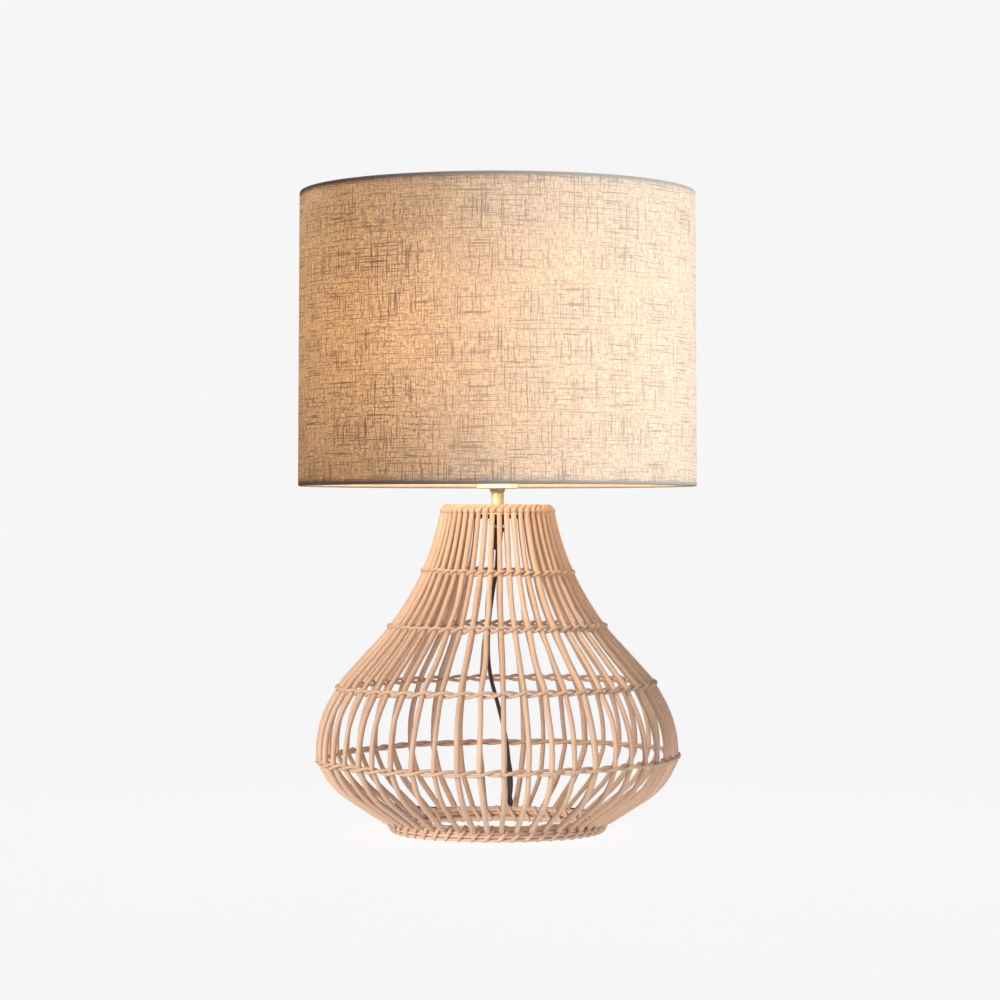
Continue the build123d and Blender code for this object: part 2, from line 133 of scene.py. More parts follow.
class Strands:
    """Many canes or strands gathered into one mesh."""

    def __init__(self):
        self.verts, self.faces, self.grain = [], [], []

    def add(self, points, radius, tint=0.5, sides=10, closed=False, frames=None, profile=None):
        """One strand. radius is a number or a function of the share along the strand."""
        points = [Vector(p) for p in points]
        frames = frames or carried_frames(points, closed)
        profile = profile or [(cos(tau * j / sides), sin(tau * j / sides)) for j in range(sides)]
        sides = len(profile)
        size = radius if callable(radius) else (lambda share: radius)
        start, count, travelled = len(self.verts), len(points), 0.0
        offset = random.random() * 3
        for i, (point, (_, side, up)) in enumerate(zip(points, frames)):
            if i:
                travelled += (point - points[i - 1]).length
            r = size(i / (count - 1))
            for j, (x, y) in enumerate(profile):
                self.verts.append(point + (side * x + up * y) * r)
                self.grain.append((offset + travelled, 0.006 * cos(tau * j / sides), tint))
        rows = count if closed else count - 1
        for i in range(rows):
            here, there = start + i * sides, start + (i + 1) % count * sides
            for j in range(sides):
                k = (j + 1) % sides
                self.faces.append((here + j, here + k, there + k, there + j))
        if not closed:
            self.faces.append(tuple(reversed(range(start, start + sides))))
            last = start + (count - 1) * sides
            self.faces.append(tuple(range(last, last + sides)))

    def piece(self, name, material):
        return mesh_piece(name, self.verts, self.faces, material, self.grain)


def spline_points(controls, closed=False, per_span=6):
    """Points on a smooth curve through the controls."""
    controls = [Vector(c) for c in controls]
    count = len(controls)
    spans = count if closed else count - 1
    found = []
    for i in range(spans):
        if closed:
            a, b, c, d = (controls[(i + k) % count] for k in (-1, 0, 1, 2))
        else:
            b, c = controls[i], controls[i + 1]
            a = controls[i - 1] if i else b * 2 - c
            d = controls[i + 2] if i + 2 < count else c * 2 - b
        for step in range(per_span):
            t = step / per_span
            found.append(0.5 * ((2 * b) + (c - a) * t + (2 * a - 5 * b + 4 * c - d) * t * t
                                + (3 * b - a - 3 * c + d) * t**3))
    if not closed:
        found.append(controls[-1])
    return found


def on_cage(radius, height, angle):
    """The point at this radius, height and azimuth about the lamp's axis."""
    return Vector((radius * cos(angle), radius * sin(angle), height))


# ================================================================ node helpers
def new_material(name):
    """An empty node material: (material, node tree, output node)."""
    material = bpy.data.materials.new(name)
    material.use_nodes = True
    tree = material.node_tree
    tree.nodes.clear()
    return material, tree, tree.nodes.new("ShaderNodeOutputMaterial")


def principled(tree, output, **values):
    """A Principled shader on the output; each value's name is its socket's, with _ for a space."""
    shader = tree.nodes.new("ShaderNodeBsdfPrincipled")
    for name, value in values.items():
        shader.inputs[name.replace("_", " ")].default_value = value
    tree.links.new(shader.outputs[0], output.inputs["Surface"])
    return shader


def node(tree, kind, inputs=None, **settings):
    """A shader node; each input is either a socket to link from or a number or colour."""
    made = tree.nodes.new("ShaderNode" + kind)
    for name, value in settings.items():
        setattr(made, name, value)
    for key, value in (inputs or {}).items():
        if isinstance(value, bpy.types.NodeSocket):
            tree.links.new(value, made.inputs[key])
        else:
            made.inputs[key].default_value = value
    return made


def maths(tree, operation, a, b=0.0):
    return node(tree, "Math", {0: a, 1: b}, operation=operation).outputs[0]


def scaled(tree, vector, scale):
    return node(tree, "VectorMath", {0: vector, 1: scale}, operation="MULTIPLY").outputs[0]


def noise_of(tree, vector, scale=1.0, detail=2.0, roughness=0.5, distortion=0.0):
    made = node(tree, "TexNoise", {"Vector": vector, "Scale": scale, "Detail": detail,
                                   "Roughness": roughness, "Distortion": distortion})
    return made.outputs[0]


def ranged(tree, value, low, high, to_low=0.0, to_high=1.0, smooth=True):
    """The value mapped from low..high to to_low..to_high, and kept there."""
    made = node(tree, "MapRange", {0: value, 1: low, 2: high, 3: to_low, 4: to_high})
    made.interpolation_type = "SMOOTHSTEP" if smooth else "LINEAR"
    return made.outputs[0]


def mixed(tree, factor, a, b, blend="MIX"):
    made = node(tree, "Mix", {0: factor, 6: a, 7: b}, data_type="RGBA", blend_type=blend)
    return made.outputs[2]


def bump(tree, height, distance, strength=1.0):
    made = node(tree, "Bump", {"Strength": strength, "Distance": distance, "Height": height})
    return made.outputs[0]


def object_place(tree):
    return node(tree, "TexCoord").outputs["Object"]


def grain_of(tree):
    """(along, around, tint) of a strand, and the tint by itself."""
    attribute = node(tree, "Attribute", attribute_name="grain").outputs["Vector"]
    parts = node(tree, "SeparateXYZ", {0: attribute})
    return attribute, parts.outputs[2]


# ================================================================ materials
def rattan(name, light, dark, shadow, grain_scale=1.0):
    """Peeled cane: fine lengthwise grain, blotches, and a tint of its own for each cane."""
    material, tree, output = new_material(name)
    place, tint = grain_of(tree)
    streaks = noise_of(tree, scaled(tree, place, (30, 1400 * grain_scale, 40)), 1, 3, 0.6)
    blotches = noise_of(tree, scaled(tree, place, (45, 60, 30)), 1, 3, 0.55)
    knots = noise_of(tree, scaled(tree, place, (160, 12, 90)), 1, 2, 0.5)
    colour = mixed(tree, ranged(tree, streaks, 0.30, 0.72), dark, light)
    colour = mixed(tree, ranged(tree, blotches, 0.52, 0.72, 0, 0.45), colour, dark)
    colour = mixed(tree, ranged(tree, knots, 0.68, 0.80, 0, 0.35), colour, shadow)
    colour = mixed(tree, ranged(tree, tint, 0.0, 1.0, 0.0, 0.35, smooth=False), colour, shadow)
    shader = principled(tree, output, Roughness=0.52, Specular_IOR_Level=0.35)
    tree.links.new(colour, shader.inputs["Base Color"])
    rough = ranged(tree, blotches, 0.3, 0.7, 0.44, 0.62)
    tree.links.new(rough, shader.inputs["Roughness"])
    relief = maths(tree, "ADD", streaks, maths(tree, "MULTIPLY", blotches, 1.5))
    tree.links.new(bump(tree, relief, 0.00022, 0.8), shader.inputs["Normal"])
    return material


def plain(name, colour, roughness, metallic=0.0, fleck=0.12, scale=220, relief=0.00004, **more):
    """A moulded, painted or plated surface: slight unevenness of colour, gloss and height."""
    material, tree, output = new_material(name)
    place = object_place(tree)
    fine = noise_of(tree, place, scale, 4, 0.6)
    broad = noise_of(tree, place, scale / 9, 2, 0.5)
    dark = tuple(c * (1 - fleck) for c in colour) + (1,)
    light = tuple(min(1, c * (1 + fleck)) for c in colour) + (1,)
    shader = principled(tree, output, Metallic=metallic, **more)
    tone = mixed(tree, ranged(tree, broad, 0.3, 0.7), dark, light)
    tree.links.new(tone, shader.inputs["Base Color"])
    rough = ranged(tree, fine, 0.3, 0.7, roughness * 0.85, min(1, roughness * 1.15))
    tree.links.new(rough, shader.inputs["Roughness"])
    tree.links.new(bump(tree, fine, relief, 0.6), shader.inputs["Normal"])
    return material


def brushed(name, colour, roughness, stretch=(90, 90, 2600)):
    """Metal drawn or turned so that its scratches run one way."""
    material, tree, output = new_material(name)
    lines = noise_of(tree, scaled(tree, object_place(tree), stretch), 1, 3, 0.6)
    shader = principled(tree, output, Metallic=1.0)
    shader.inputs["Base Color"].default_value = (*colour, 1)
    rough = ranged(tree, lines, 0.3, 0.7, roughness * 0.75, roughness * 1.3)
    tree.links.new(rough, shader.inputs["Roughness"])
    tree.links.new(bump(tree, lines, 0.00002, 0.5), shader.inputs["Normal"])
    return material


def braid(name):
    """Braided textile sleeve: crossing pale and dark yarns in a fine diamond pattern."""
    material, tree, output = new_material(name)
    place, _ = grain_of(tree)
    parts = node(tree, "SeparateXYZ", {0: place})
    along, around = parts.outputs[0], parts.outputs[1]
    forward, sideways = maths(tree, "MULTIPLY", along, 3600), maths(tree, "MULTIPLY", around, 2600)
    left = maths(tree, "SINE", maths(tree, "ADD", forward, sideways))
    right = maths(tree, "SINE", maths(tree, "SUBTRACT", forward, sideways))
    weave = maths(tree, "MULTIPLY", left, right)
    fuzz = noise_of(tree, scaled(tree, place, (900, 900, 1)), 1, 3, 0.6)
    colour = mixed(tree, ranged(tree, weave, -0.6, 0.8),
                   (0.026, 0.010, 0.009, 1), (0.100, 0.044, 0.037, 1))
    colour = mixed(tree, ranged(tree, fuzz, 0.62, 0.78, 0, 0.35), colour, (0.20, 0.12, 0.10, 1))
    shader = principled(tree, output, Roughness=0.85, Sheen_Weight=0.06, Sheen_Roughness=0.5)
    tree.links.new(colour, shader.inputs["Base Color"])
    relief = maths(tree, "ADD", weave, fuzz)
    tree.links.new(bump(tree, relief, 0.00018, 0.8), shader.inputs["Normal"])
    return material


def linen(name):
    """Slubby linen-look cloth, lit through from inside.

    grain is (around, up, hem); hem is 1 on the outer edge at each end, painted darker as painted
    shade of the wire and the doubled cloth, and -1 on the part turned inside, painted paler as
    painted light from the bulb.
    """
    material, tree, output = new_material(name)
    place, hem = grain_of(tree)
    warp = noise_of(tree, scaled(tree, place, (820, 27, 1)), 1, 2, 0.55)
    weft = noise_of(tree, scaled(tree, place, (22, 860, 1)), 1, 2, 0.55)
    slub = maths(tree, "MAXIMUM", ranged(tree, warp, 0.54, 0.66), ranged(tree, weft, 0.54, 0.66))
    patches = noise_of(tree, scaled(tree, place, (16, 13, 1)), 1, 3, 0.6)
    slub = maths(tree, "MULTIPLY", slub, ranged(tree, patches, 0.34, 0.60, 0.55, 1.0))
    up_threads = noise_of(tree, scaled(tree, place, (1250, 150, 1)), 1, 2, 0.6)
    cross_threads = noise_of(tree, scaled(tree, place, (170, 1250, 1)), 1, 2, 0.6)
    specks = noise_of(tree, scaled(tree, place, (900, 900, 1)), 1, 2, 0.7)
    weave = maths(tree, "ADD", ranged(tree, up_threads, 0.42, 0.68, 0.0, 0.55, smooth=False),
                  ranged(tree, cross_threads, 0.42, 0.68, 0.0, 0.50, smooth=False))
    weave = maths(tree, "ADD", weave, ranged(tree, specks, 0.52, 0.70, 0.0, 0.45))
    thread = maths(tree, "ADD", maths(tree, "MULTIPLY", slub, 0.80), weave)
    thread = maths(tree, "MINIMUM", thread, 1.0)
    # Painted shade: the cloth's ends are painted darker, both as seen and as lit through, for the
    # shadow of the wire and the doubled cloth.
    edge = maths(tree, "MAXIMUM", hem, 0.0)
    # Painted light: the turned-in cloth is painted a pale cream without threads, as if brightly lit
    # by the bulb; it also lets less light through.
    inside = maths(tree, "MULTIPLY", maths(tree, "MINIMUM", hem, 0.0), -1.0)
    reflected = mixed(tree, thread, (0.90, 0.86, 0.81, 1), (0.67, 0.60, 0.54, 1))
    reflected = mixed(tree, edge, reflected, (0.72, 0.62, 0.55, 1))
    reflected = mixed(tree, inside, reflected, (0.97, 0.94, 0.86, 1))
    passed = mixed(tree, thread, (1.0, 0.78, 0.52, 1), (0.24, 0.12, 0.065, 1))
    passed = mixed(tree, edge, passed, (0.36, 0.24, 0.165, 1))
    face = node(tree, "BsdfDiffuse", {"Color": reflected})
    through = node(tree, "BsdfTranslucent", {"Color": passed})
    relief = maths(tree, "ADD", maths(tree, "ADD", warp, weft),
                   maths(tree, "ADD", up_threads, cross_threads))
    tree.links.new(bump(tree, relief, 0.00025, 0.6), face.inputs["Normal"])
    share = ranged(tree, inside, 0.0, 1.0, 0.5, 0.06, smooth=False)
    both = node(tree, "MixShader", {0: share, 1: face.outputs[0], 2: through.outputs[0]})
    tree.links.new(both.outputs[0], output.inputs["Surface"])
    return material


def film(name):
    """Milky shade film behind the cloth."""
    material, tree, output = new_material(name)
    place = object_place(tree)
    cloud = noise_of(tree, place, 30, 3, 0.5)
    colour = mixed(tree, ranged(tree, cloud, 0.3, 0.7), (0.88, 0.84, 0.75, 1), (0.92, 0.88, 0.80, 1))
    face = node(tree, "BsdfDiffuse", {"Color": colour})
    through = node(tree, "BsdfTranslucent", {"Color": colour})
    both = node(tree, "MixShader", {0: 0.5, 1: face.outputs[0], 2: through.outputs[0]})
    tree.links.new(both.outputs[0], output.inputs["Surface"])
    return material


def lit_glass(name):
    """Opal bulb glass that glows."""
    material, tree, output = new_material(name)
    cloud = noise_of(tree, object_place(tree), 60, 2, 0.5)
    colour = mixed(tree, ranged(tree, cloud, 0.3, 0.7), (1.0, 0.80, 0.52, 1), (1.0, 0.86, 0.62, 1))
    shader = principled(tree, output, Roughness=0.25, Emission_Strength=4.0)
    shader.inputs["Emission Color"].default_value = (1.0, 0.82, 0.56, 1)
    tree.links.new(colour, shader.inputs["Base Color"])
    return material


CANE = rattan("rattan_cane",
              (0.80, 0.565, 0.42, 1), (0.69, 0.455, 0.32, 1), (0.48, 0.29, 0.19, 1))
TWINE = rattan("rattan_twine",
               (0.80, 0.57, 0.42, 1), (0.66, 0.44, 0.31, 1), (0.44, 0.27, 0.18, 1), 1.6)
BRAID = braid("cord_braid")
LINEN = linen("shade_linen")
FILM = film("shade_film")

NODE_MATERIALS = {
    "blackened_steel": plain("blackened_steel", (0.018, 0.016, 0.015), 0.5,
                             fleck=0.3, scale=900),
    "zinc_steel": brushed("zinc_steel", (0.62, 0.61, 0.58), 0.32),
    "satin_nickel": plain("satin_nickel", (0.84, 0.70, 0.47), 0.46, 0.35,
                          fleck=0.05, scale=500),
    "cream_bakelite": plain("cream_bakelite", (0.80, 0.70, 0.52), 0.34,
                            fleck=0.04, Coat_Weight=0.2),
    "porcelain": plain("porcelain", (0.86, 0.85, 0.80), 0.16, fleck=0.03, Coat_Weight=0.5),
    "brass_contacts": brushed("brass_contacts", (0.80, 0.58, 0.26), 0.28),
    "white_wire": plain("white_wire", (0.82, 0.80, 0.76), 0.36, fleck=0.05, scale=400),
    "bulb_nickel_cap": brushed("bulb_nickel_cap", (0.74, 0.73, 0.70), 0.25, (60, 60, 1200)),
    "bulb_solder": plain("bulb_solder", (0.55, 0.55, 0.55), 0.4, 1.0, scale=900),
    "black_glass": plain("black_glass", (0.012, 0.012, 0.014), 0.12, fleck=0.3),
    "opal_glass": lit_glass("opal_glass"),
    "led_filament": plain("led_filament", (0.92, 0.78, 0.42), 0.5, fleck=0.1),
    "cord_braid": BRAID,
    "brown_plastic": plain("brown_plastic", (0.040, 0.023, 0.018), 0.42, fleck=0.2, scale=700),
    "pin_nickel": brushed("pin_nickel", (0.78, 0.76, 0.73), 0.22, (60, 1500, 60)),
    "tie_strap": plain("tie_strap", (0.030, 0.028, 0.027), 0.9,
                       fleck=0.35, scale=1500, relief=0.0003),
}
node_slots = {s["node"]: s["material_slot"] for s in frame["record"]["subparts"]}
for name, part in nodes.items():
    look = NODE_MATERIALS.get(node_slots[name])
    if look:
        part.data.materials.clear()
        part.data.materials.append(look)


# ================================================================ cord
# Inside the cage and over the foot the route repeats the CAD's points. Behind the foot it crosses the
# coil's near side, comes down inside the oval and joins the innermost turn.
CORD_WIDTH, CORD_THICKNESS = 6.0 * MM, 3.4 * MM
RUN_ROUTE = [(0, 0, 0.254), (-0.0005, 0.001, 0.238), (-0.005, 0.003, 0.212),
             (-0.009, 0.005, 0.178), (-0.008, 0.010, 0.144), (0.001, 0.020, 0.112),
             (0.0085, 0.034, 0.080), (0.011, 0.052, 0.052), (0.0115, 0.073, 0.033),
             (0.0105, 0.093, 0.0245), (0.0106, 0.109, 0.022), (0.012, 0.123, 0.0148),
             (0.014, 0.138, 0.0086), (0.0145, 0.152, 0.0050), (0.0115, 0.1655, 0.0026),
             (0.0020, 0.1755, 0.0018)]
TAIL_ROUTE = [(-0.034, 0.2030, 0.0018), (-0.053, 0.202, 0.0018), (-0.072, 0.197, 0.0025),
              (-0.086, 0.186, 0.0055), (-0.090, 0.1686, 0.007)]
TURN_PITCH = CORD_WIDTH + 0.15 * MM
INNER_BEND = 14 * MM
FIRST_TURN, LAST_TURN = 0.335, 4.25      # counted from the right, anticlockwise
POINTS_PER_TURN = 24
ON_TABLE = CORD_THICKNESS / 2 + 0.05 * MM
STRAIGHT_SIDES = 2.2                     # how soon a turn's round end runs into its straight side
FLAT_FROM, FLAT_TO = 0.062, 0.042        # heights between which the cord turns flat
HANGING_FACE = Vector((0.25, 1, 0))      # the way its wide side points while it hangs
coil_low, coil_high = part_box("cord_coil")
coil_centre = (coil_low + coil_high) / 2
coil_straight = (coil_high.x - coil_low.x) - (coil_high.y - coil_low.y)


def coil_points():
    """A flat oval spiral, from its innermost turn outwards, anticlockwise seen from above."""
    found = []
    for step in range(round(FIRST_TURN * POINTS_PER_TURN), round(LAST_TURN * POINTS_PER_TURN)):
        turns = step / POINTS_PER_TURN
        bend = INNER_BEND + TURN_PITCH * turns
        angle = tau * turns
        end = coil_straight / 2 * max(-1, min(1, STRAIGHT_SIDES * cos(angle)))
        found.append((coil_centre.x + end + bend * cos(angle),
                      coil_centre.y + bend * sin(angle), ON_TABLE))
    return found


def nurbs_points(name, controls):
    """Points along the smooth cord line that has these control points."""
    curve = bpy.data.curves.new(name, "CURVE")
    curve.dimensions = "3D"
    curve.resolution_u = 8
    spline = curve.splines.new("NURBS")
    spline.points.add(len(controls) - 1)
    for point, control in zip(spline.points, controls):
        point.co = (*control, 1)
    spline.order_u = 3
    spline.use_endpoint_u = True
    holder = bpy.data.objects.new(name, curve)
    line = bpy.data.meshes.new_from_object(holder)
    found = [v.co.copy() for v in line.vertices]
    bpy.data.objects.remove(holder)
    bpy.data.curves.remove(curve)
    bpy.data.meshes.remove(line)
    return found


def flat_profile(sides=18):
    """Outline of a flat twin cord one unit wide, pinched between its two cores."""
    found = []
    for j in range(sides):
        x = cos(tau * j / sides) / 2
        waist = 1 - 0.24 * exp(-((x / 0.14) ** 2))
        y = sin(tau * j / sides) / 2 * CORD_THICKNESS / CORD_WIDTH * waist
        found.append((x, y))
    return found


def cord_frames(points):
    """The cord hangs edge-on to the front, then turns flat, and lies flat on the table."""
    frames = []
    for point, direction in zip(points, tangents(points, False)):
        flat = direction.cross(Vector((0, 0, 1)))
        turned = smoothstep(FLAT_FROM, FLAT_TO, point.z)
        wide = HANGING_FACE.normalized() * (1 - turned) + flat.normalized() * turned
        if flat.length < 0.05:
            wide = HANGING_FACE
        wide = (wide - direction * wide.dot(direction)).normalized()
        frames.append((direction, wide, direction.cross(wide)))
    return frames


cord_line = nurbs_points("cord_line", RUN_ROUTE + coil_points() + TAIL_ROUTE)
cord_strand = Strands()
cord_strand.add(cord_line, CORD_WIDTH, frames=cord_frames(cord_line), profile=flat_profile())
cord = cord_strand.piece("braided_cord", BRAID)
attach(cord, "base")
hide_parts("cord_run", "cord_coil", "cord_tail")


# ================================================================ cage
RIB_COUNT = 49
RIBS_PER_NODE = 7
RIB_RADIUS = 2.75 * MM
RIB_STEP = tau / RIB_COUNT
FIRST_RIB_ANGLE = radians(-88)
# Outline of the ribs' centreline, as (radius, height) corners with a bend at each inner one.
RIB_CORNERS = [(0.0489, 0.2875), (0.0646, 0.2167), (0.1378, 0.1371), (0.1601, 0.0991),
               (0.1604, 0.0668), (0.1473, 0.0410), (0.1002, 0.0107)]
RIB_BENDS = [0.236, 0.022, 0.090, 0.012, 0.066]
BAND_HEIGHTS = [0.234, 0.1845, 0.1315, 0.0675]
# How much each hand-woven band climbs towards the right, and towards the back.
BAND_TILTS = [(-0.009, 0), (0.004, 0), (0.015, 0), (0.015, 0.012)]
TWINE_RADIUS = 1.5 * MM
STEPS_PER_RIB = 8                # along a woven strand
# Azimuths over which the ribs start to bunch, and over which they stop.
BUNCH_STARTS, BUNCH_ENDS = (radians(100), radians(122)), (radians(182), radians(160))
BUNCH_SHIFT = 0.42 * RIB_STEP
HELD_HEIGHTS = [*BAND_HEIGHTS, 0.291, 0.012]    # the bands, the neck and the foot
HOLD_REACH = 24 * MM
SWAY, DRIFT = 2.3, 3.2           # mm that a rib strays in short and in long waves
SWAY_SEED, BULGE_SEED = 3.0, 40.0


def rounded_line(corners, bends, step=3.5 * MM):
    """Points along straight runs joined by arcs, about a step apart, as (radius, height)."""
    corners = [Vector(c) for c in corners]
    found = [corners[0]]

    def run_to(target):
        start = found[-1]
        count = max(1, ceil((target - start).length / step))
        found.extend(start.lerp(target, i / count) for i in range(1, count + 1))

    for before, here, after, bend in zip(corners, corners[1:], corners[2:], bends):
        arriving, leaving = (here - before).normalized(), (after - here).normalized()
        turn = arriving.angle_signed(leaving)
        reach = bend * tan(abs(turn) / 2)
        run_to(here - arriving * reach)
        inward = (leaving - arriving).normalized()
        centre = here + inward * bend / cos(turn / 2)
        spoke = found[-1] - centre
        count = max(2, ceil(abs(turn) * bend / step))
        for i in range(1, count + 1):
            angle = -turn * i / count
            found.append(centre + Vector((spoke.x * cos(angle) - spoke.y * sin(angle),
                                          spoke.x * sin(angle) + spoke.y * cos(angle))))
    run_to(corners[-1])
    return found


rib_profile = rounded_line(RIB_CORNERS, RIB_BENDS)


def rib_at(height):
    """Radius of the ribs' centreline at a height, and its outward normal there."""
    for (r1, z1), (r2, z2) in zip(rib_profile, rib_profile[1:]):
        if z2 <= height:
            share = (z1 - height) / (z1 - z2)
            length = hypot(r2 - r1, z1 - z2)
            return r1 + share * (r2 - r1), ((z1 - z2) / length, (r2 - r1) / length)
    return rib_profile[-1][0], (1, 0)


def rib_angle(place):
    """Azimuth of a rib, or of a place between two. The ribs bunch a little at the back left."""
    even = FIRST_RIB_ANGLE + place * RIB_STEP
    turned = (even - FIRST_RIB_ANGLE) % tau + FIRST_RIB_ANGLE
    return even + BUNCH_SHIFT * smoothstep(*BUNCH_STARTS, turned) * smoothstep(*BUNCH_ENDS, turned)


def held(height):
    """1 between the woven bands, falling to 0 where a band holds the ribs in place."""
    return smoothstep(0, HOLD_REACH, min(abs(height - z) for z in HELD_HEIGHTS))


def wander(index, height, seed):
    """How far a rib strays sideways at a height, in metres."""
    loose = noise.noise(Vector((index * 7.3, height * 11, seed)))
    steady = noise.noise(Vector((index * 5.1, height * 5, seed + 11)))
    grows = smoothstep(0.29, 0.20, height)
    return (loose * held(height) * SWAY + steady * DRIFT) * MM * grows


def rib_line(index):
    """Centreline of one rib, with the small wanderings of a bent cane."""
    points = []
    for radius, height in rib_profile:
        drift = wander(index, height, SWAY_SEED) / radius
        points.append(on_cage(radius + 0.35 * wander(index, height, BULGE_SEED), height,
                              rib_angle(index) + drift))
    return points


random.seed(11)
for group in range(RIB_COUNT // RIBS_PER_NODE):
    ribs = Strands()
    for index in range(group * RIBS_PER_NODE, (group + 1) * RIBS_PER_NODE):
        thickness = RIB_RADIUS * (0.80 + 0.24 * random.random() ** 1.6)
        swell = random.uniform(0, 50)
        ribs.add(
            rib_line(index),
            lambda share: thickness * (1 + 0.09 * noise.noise(Vector((swell, share * 9, 0)))),
            random.random(), sides=12,
        )
    piece = ribs.piece(f"cane_ribs_{group + 1:02d}", CANE)
    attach(piece, "base")
    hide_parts(f"ribs_{group + 1:02d}")


# ---------------------------------------------------------------- woven bands
def twine(level, tilt, phase, seed):
    """One strand of a band: outside one rib, inside the next, twisting round its partner."""
    reach = 0.9 * RIB_RADIUS + 0.45 * TWINE_RADIUS
    points = []
    for step in range(RIB_COUNT * STEPS_PER_RIB):
        place = step / STEPS_PER_RIB
        turn = pi * place + phase
        index = round(place) % RIB_COUNT
        azimuth = rib_angle(place)
        height = level + 0.15 * (tilt[0] * cos(azimuth) + tilt[1] * sin(azimuth))
        radius, (out_r, out_z) = rib_at(height)
        off = reach * cos(turn)
        lift = TWINE_RADIUS * sin(turn)
        lift += 1.3 * MM * noise.noise(Vector((place * 0.45, seed, 0)))
        drift = wander(index, height, SWAY_SEED) / radius * (1 - abs(place - round(place)) * 2) ** 2
        points.append(on_cage(radius + off * out_r - lift * out_z,
                              height + off * out_z + lift * out_r, azimuth + drift))
    return points


for number, (level, tilt) in enumerate(zip(BAND_HEIGHTS, BAND_TILTS), start=1):
    band = Strands()
    for phase in (0, pi):
        band.add(twine(level, tilt, phase, number * 3.7), TWINE_RADIUS,
                 0.25 + 0.3 * random.random(), sides=8, closed=True)
    piece = band.piece(f"twined_band_{number}", TWINE)
    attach(piece, "base")
    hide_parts(f"woven_band_{number}")


# ---------------------------------------------------------------- neck border
BORDER_RADIUS = 2.7 * MM
INNER_CANE_RADIUS = 2.3 * MM


def folded_end(index):
    """A rib's end: a knuckle at the neck, then along the rim over its next neighbours.

    Each stop is (radius, height, how many ribs along).
    """
    stops = [(0.0488, 0.2848, -0.02), (0.0492, 0.2878, 0.00), (0.0490, 0.2903, 0.12),
             (0.0479, 0.2924, 0.55), (0.0467, 0.2932, 1.10), (0.0455, 0.2922, 1.65)]
    jitter = random.uniform(-0.25, 0.25) * MM
    return spline_points([on_cage(r, z + jitter, rib_angle(index) + a * RIB_STEP)
                          for r, z, a in stops])


def knuckle(share):
    """Thick where the rib turns over, and thinner along the rim."""
    return BORDER_RADIUS * (0.70 + 0.48 * exp(-((share - 0.29) / 0.13) ** 2) - 0.05 * share)


border_canes = Strands()
for index in range(RIB_COUNT):
    border_canes.add(folded_end(index), knuckle, random.random() * 0.6, sides=12)
inner_cane = [on_cage(0.0462, 0.2895, tau * i / 160) for i in range(160)]
border_canes.add(inner_cane, INNER_CANE_RADIUS, 0.4, closed=True)
border = border_canes.piece("folded_border", CANE)
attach(border, "base")
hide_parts("neck_border")


# ---------------------------------------------------------------- foot
LASHING_RADIUS = 1.7 * MM
# Each hoop of the foot: (radius, height, radius of its cane).
LOW_HOOPS = [(0.0950, 0.0055, 1.40 * MM), (0.0938, 0.0022, 1.40 * MM), (0.0918, 0.0037, 1.7 * MM),
             (0.0940, 0.0082, 1.9 * MM)]
HIGH_HOOP = (0.0928, 0.0120, 2.5 * MM)


def foot_loop(index):
    """Lashing round all the foot's hoops; its outer run leans like a stroke of the pen.

    Each stop is (radius, height, how many ribs along).
    """
    stops = [(0.0982, 0.0108, 0.36), (0.0978, 0.0082, 0.22), (0.0966, 0.0050, 0.02),
             (0.0950, 0.0028, -0.14), (0.0928, 0.0018, -0.22), (0.0905, 0.0026, -0.26),
             (0.0893, 0.0062, -0.12), (0.0893, 0.0105, 0.12), (0.0912, 0.0136, 0.26),
             (0.0952, 0.0132, 0.36)]
    sway = random.uniform(-0.06, 0.06)
    return spline_points([on_cage(r, z, rib_angle(index) + (a + sway) * RIB_STEP)
                          for r, z, a in stops], closed=True, per_span=3)


loops = Strands()
for index in range(RIB_COUNT):
    loops.add(foot_loop(index), LASHING_RADIUS, random.random() * 0.7, sides=8, closed=True)
lashing = loops.piece("foot_binding", TWINE)
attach(lashing, "base")
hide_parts("foot_lashing")


def ring_line(radius, height, seed, count=200):
    """A level ring, a little out of round."""
    found = []
    for i in range(count):
        angle = tau * i / count
        uneven = 0.25 * MM * noise.noise(Vector((sin(angle), cos(angle), seed)))
        found.append(on_cage(radius + uneven, height, angle))
    return found


low_canes = Strands()
for radius, height, size in LOW_HOOPS:
    low_canes.add(ring_line(radius, height, radius * 900), size, 0.3, closed=True)
low_hoops = low_canes.piece("foot_canes_low", CANE)
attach(low_hoops, "base")
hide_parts("foot_lower_hoop")

high_cane = Strands()
radius, height, size = HIGH_HOOP
high_cane.add(ring_line(radius, height, 5.0), size, 0.7, sides=12, closed=True)
high_hoop = high_cane.piece("foot_cane_high", CANE)
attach(high_hoop, "base")
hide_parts("foot_upper_hoop")


# ================================================================ shade
fabric_low, fabric_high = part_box("shade_fabric")
SHADE_BOTTOM, SHADE_TOP = fabric_low.z, fabric_high.z
BOTTOM_RADIUS = (fabric_high.x - fabric_low.x) / 2 + 0.1 * MM
TOP_RADIUS = BOTTOM_RADIUS - 1.5 * MM
SEAM_ANGLE = radians(97)
SEAM_OVERLAP = 12 * MM
# The cloth turns in round the wire at each end: (depth behind the face, distance from the end).
HEM = [(2.3, 5.4), (2.5, 4.4), (3.6, 4.1), (4.9, 3.7), (5.75, 2.6), (5.85, 1.6), (5.2, 0.6),
       (4.0, 0.15), (1.6, 0.1), (0.6, 0.4), (0.1, 1.2), (0.0, 2.8), (0.0, 3.2)]
HEM_REACH = HEM[-1][1] * MM
PAINTED_SHADE_EDGE = 3.0 * MM             # height of the edge painted darker at each end, a painted shade of the wire and the doubled cloth
TURNED_IN = 1.7 * MM             # depth from which the cloth faces inwards
FACE_INSET = 0.35 * MM
COLUMNS, ROWS = 360, 40
FILM_DEPTH, FILM_MARGIN, FILM_ROWS = 1.3 * MM, 0.6 * MM, 30


